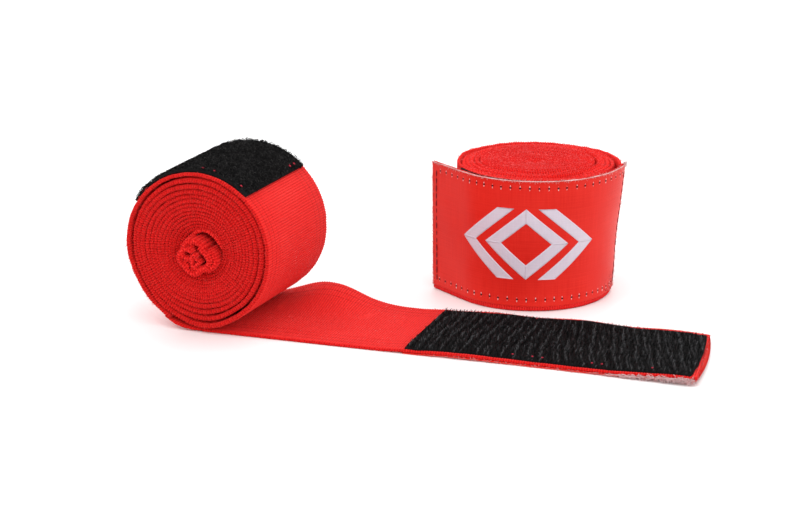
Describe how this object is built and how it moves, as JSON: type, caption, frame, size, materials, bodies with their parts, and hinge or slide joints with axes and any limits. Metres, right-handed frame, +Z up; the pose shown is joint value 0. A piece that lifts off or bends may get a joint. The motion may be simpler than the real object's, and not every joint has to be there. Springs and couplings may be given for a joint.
{
  "type": "hand wrap",
  "caption": "Pair of red woven hand wraps with hook-and-loop closures, rolled up, with the closing tab of the lying roll laid out flat.",
  "frame": {"origin": "on the resting surface, under the middle of the left roll, in the middle of its width, on the flat underside of the band", "axes": "+Z up; +Y along the left roll's axis, away from its open end; +X the way the left wrap's tail is laid out"},
  "size_m": [0.2122, 0.1355, 0.0616],
  "materials": {
    "band": "ribbed woven band",
    "pile": "soft looped pile",
    "hook": "stiff hook tape",
    "label": "woven satin",
    "motif": "woven satin, pale thread",
    "thread": "sewing thread"
  },
  "bodies": {
    "left_under": {"left_under_band": "band"},
    "left_roll": {"left_roll_band": "band", "left_thumb_loop": "band", "left_thumb_loop_tack": "thread", "left_pile_patch": "pile", "left_pile_stitching": "thread"},
    "left_tail": {"left_tail_band": "band"},
    "left_tab": {"left_tab_band": "band", "left_hook_strip": "hook", "left_hook_stitching": "thread", "left_label": "label", "left_label_stitching": "thread", "left_label_motif": "motif"},
    "right_roll": {"right_roll_band": "band", "right_thumb_loop": "band", "right_thumb_loop_tack": "thread", "right_pile_patch": "pile", "right_pile_stitching": "thread"},
    "right_tab": {"right_tab_band": "band", "right_hook_strip": "hook", "right_hook_stitching": "thread", "right_label": "label", "right_label_stitching": "thread", "right_label_motif": "motif"}
  },
  "joints": [
    {"name": "left_tail_pull", "type": "slide", "parent": "left_under", "child": "left_tail", "axis": [0.9976, 0.0698, 0], "range_m": [0, 0.045]},
    {"name": "left_roll_turn", "type": "hinge", "parent": "left_under", "child": "left_roll", "pos_m": [0, 0, 0.0308], "axis": [0, -1, 0], "range_deg": [0, 88]},
    {"name": "left_tab_lift", "type": "hinge", "parent": "left_tail", "child": "left_tab", "pos_m": [0.06185, 0.00583, 0.0016], "axis": [0.0698, -0.9976, 0], "range_deg": [0, 115]},
    {"name": "right_wrap_lift", "type": "slide", "parent": "left_under", "child": "right_roll", "axis": [0, 0, 1], "range_m": [0, 0.05]},
    {"name": "right_tab_peel", "type": "hinge", "parent": "right_roll", "child": "right_tab", "pos_m": [0.12302, 0.08448, 0.025], "axis": [0, 0, 1], "range_deg": [0, 90.5]}
  ],
  "couplings": [
    {"joint": "left_roll_turn", "follows": "left_tail_pull", "rad_per_m": 34.014},
    {"joint": "right_tab_peel", "follows": "right_wrap_lift", "rad_per_m": 31.416}
  ]
}
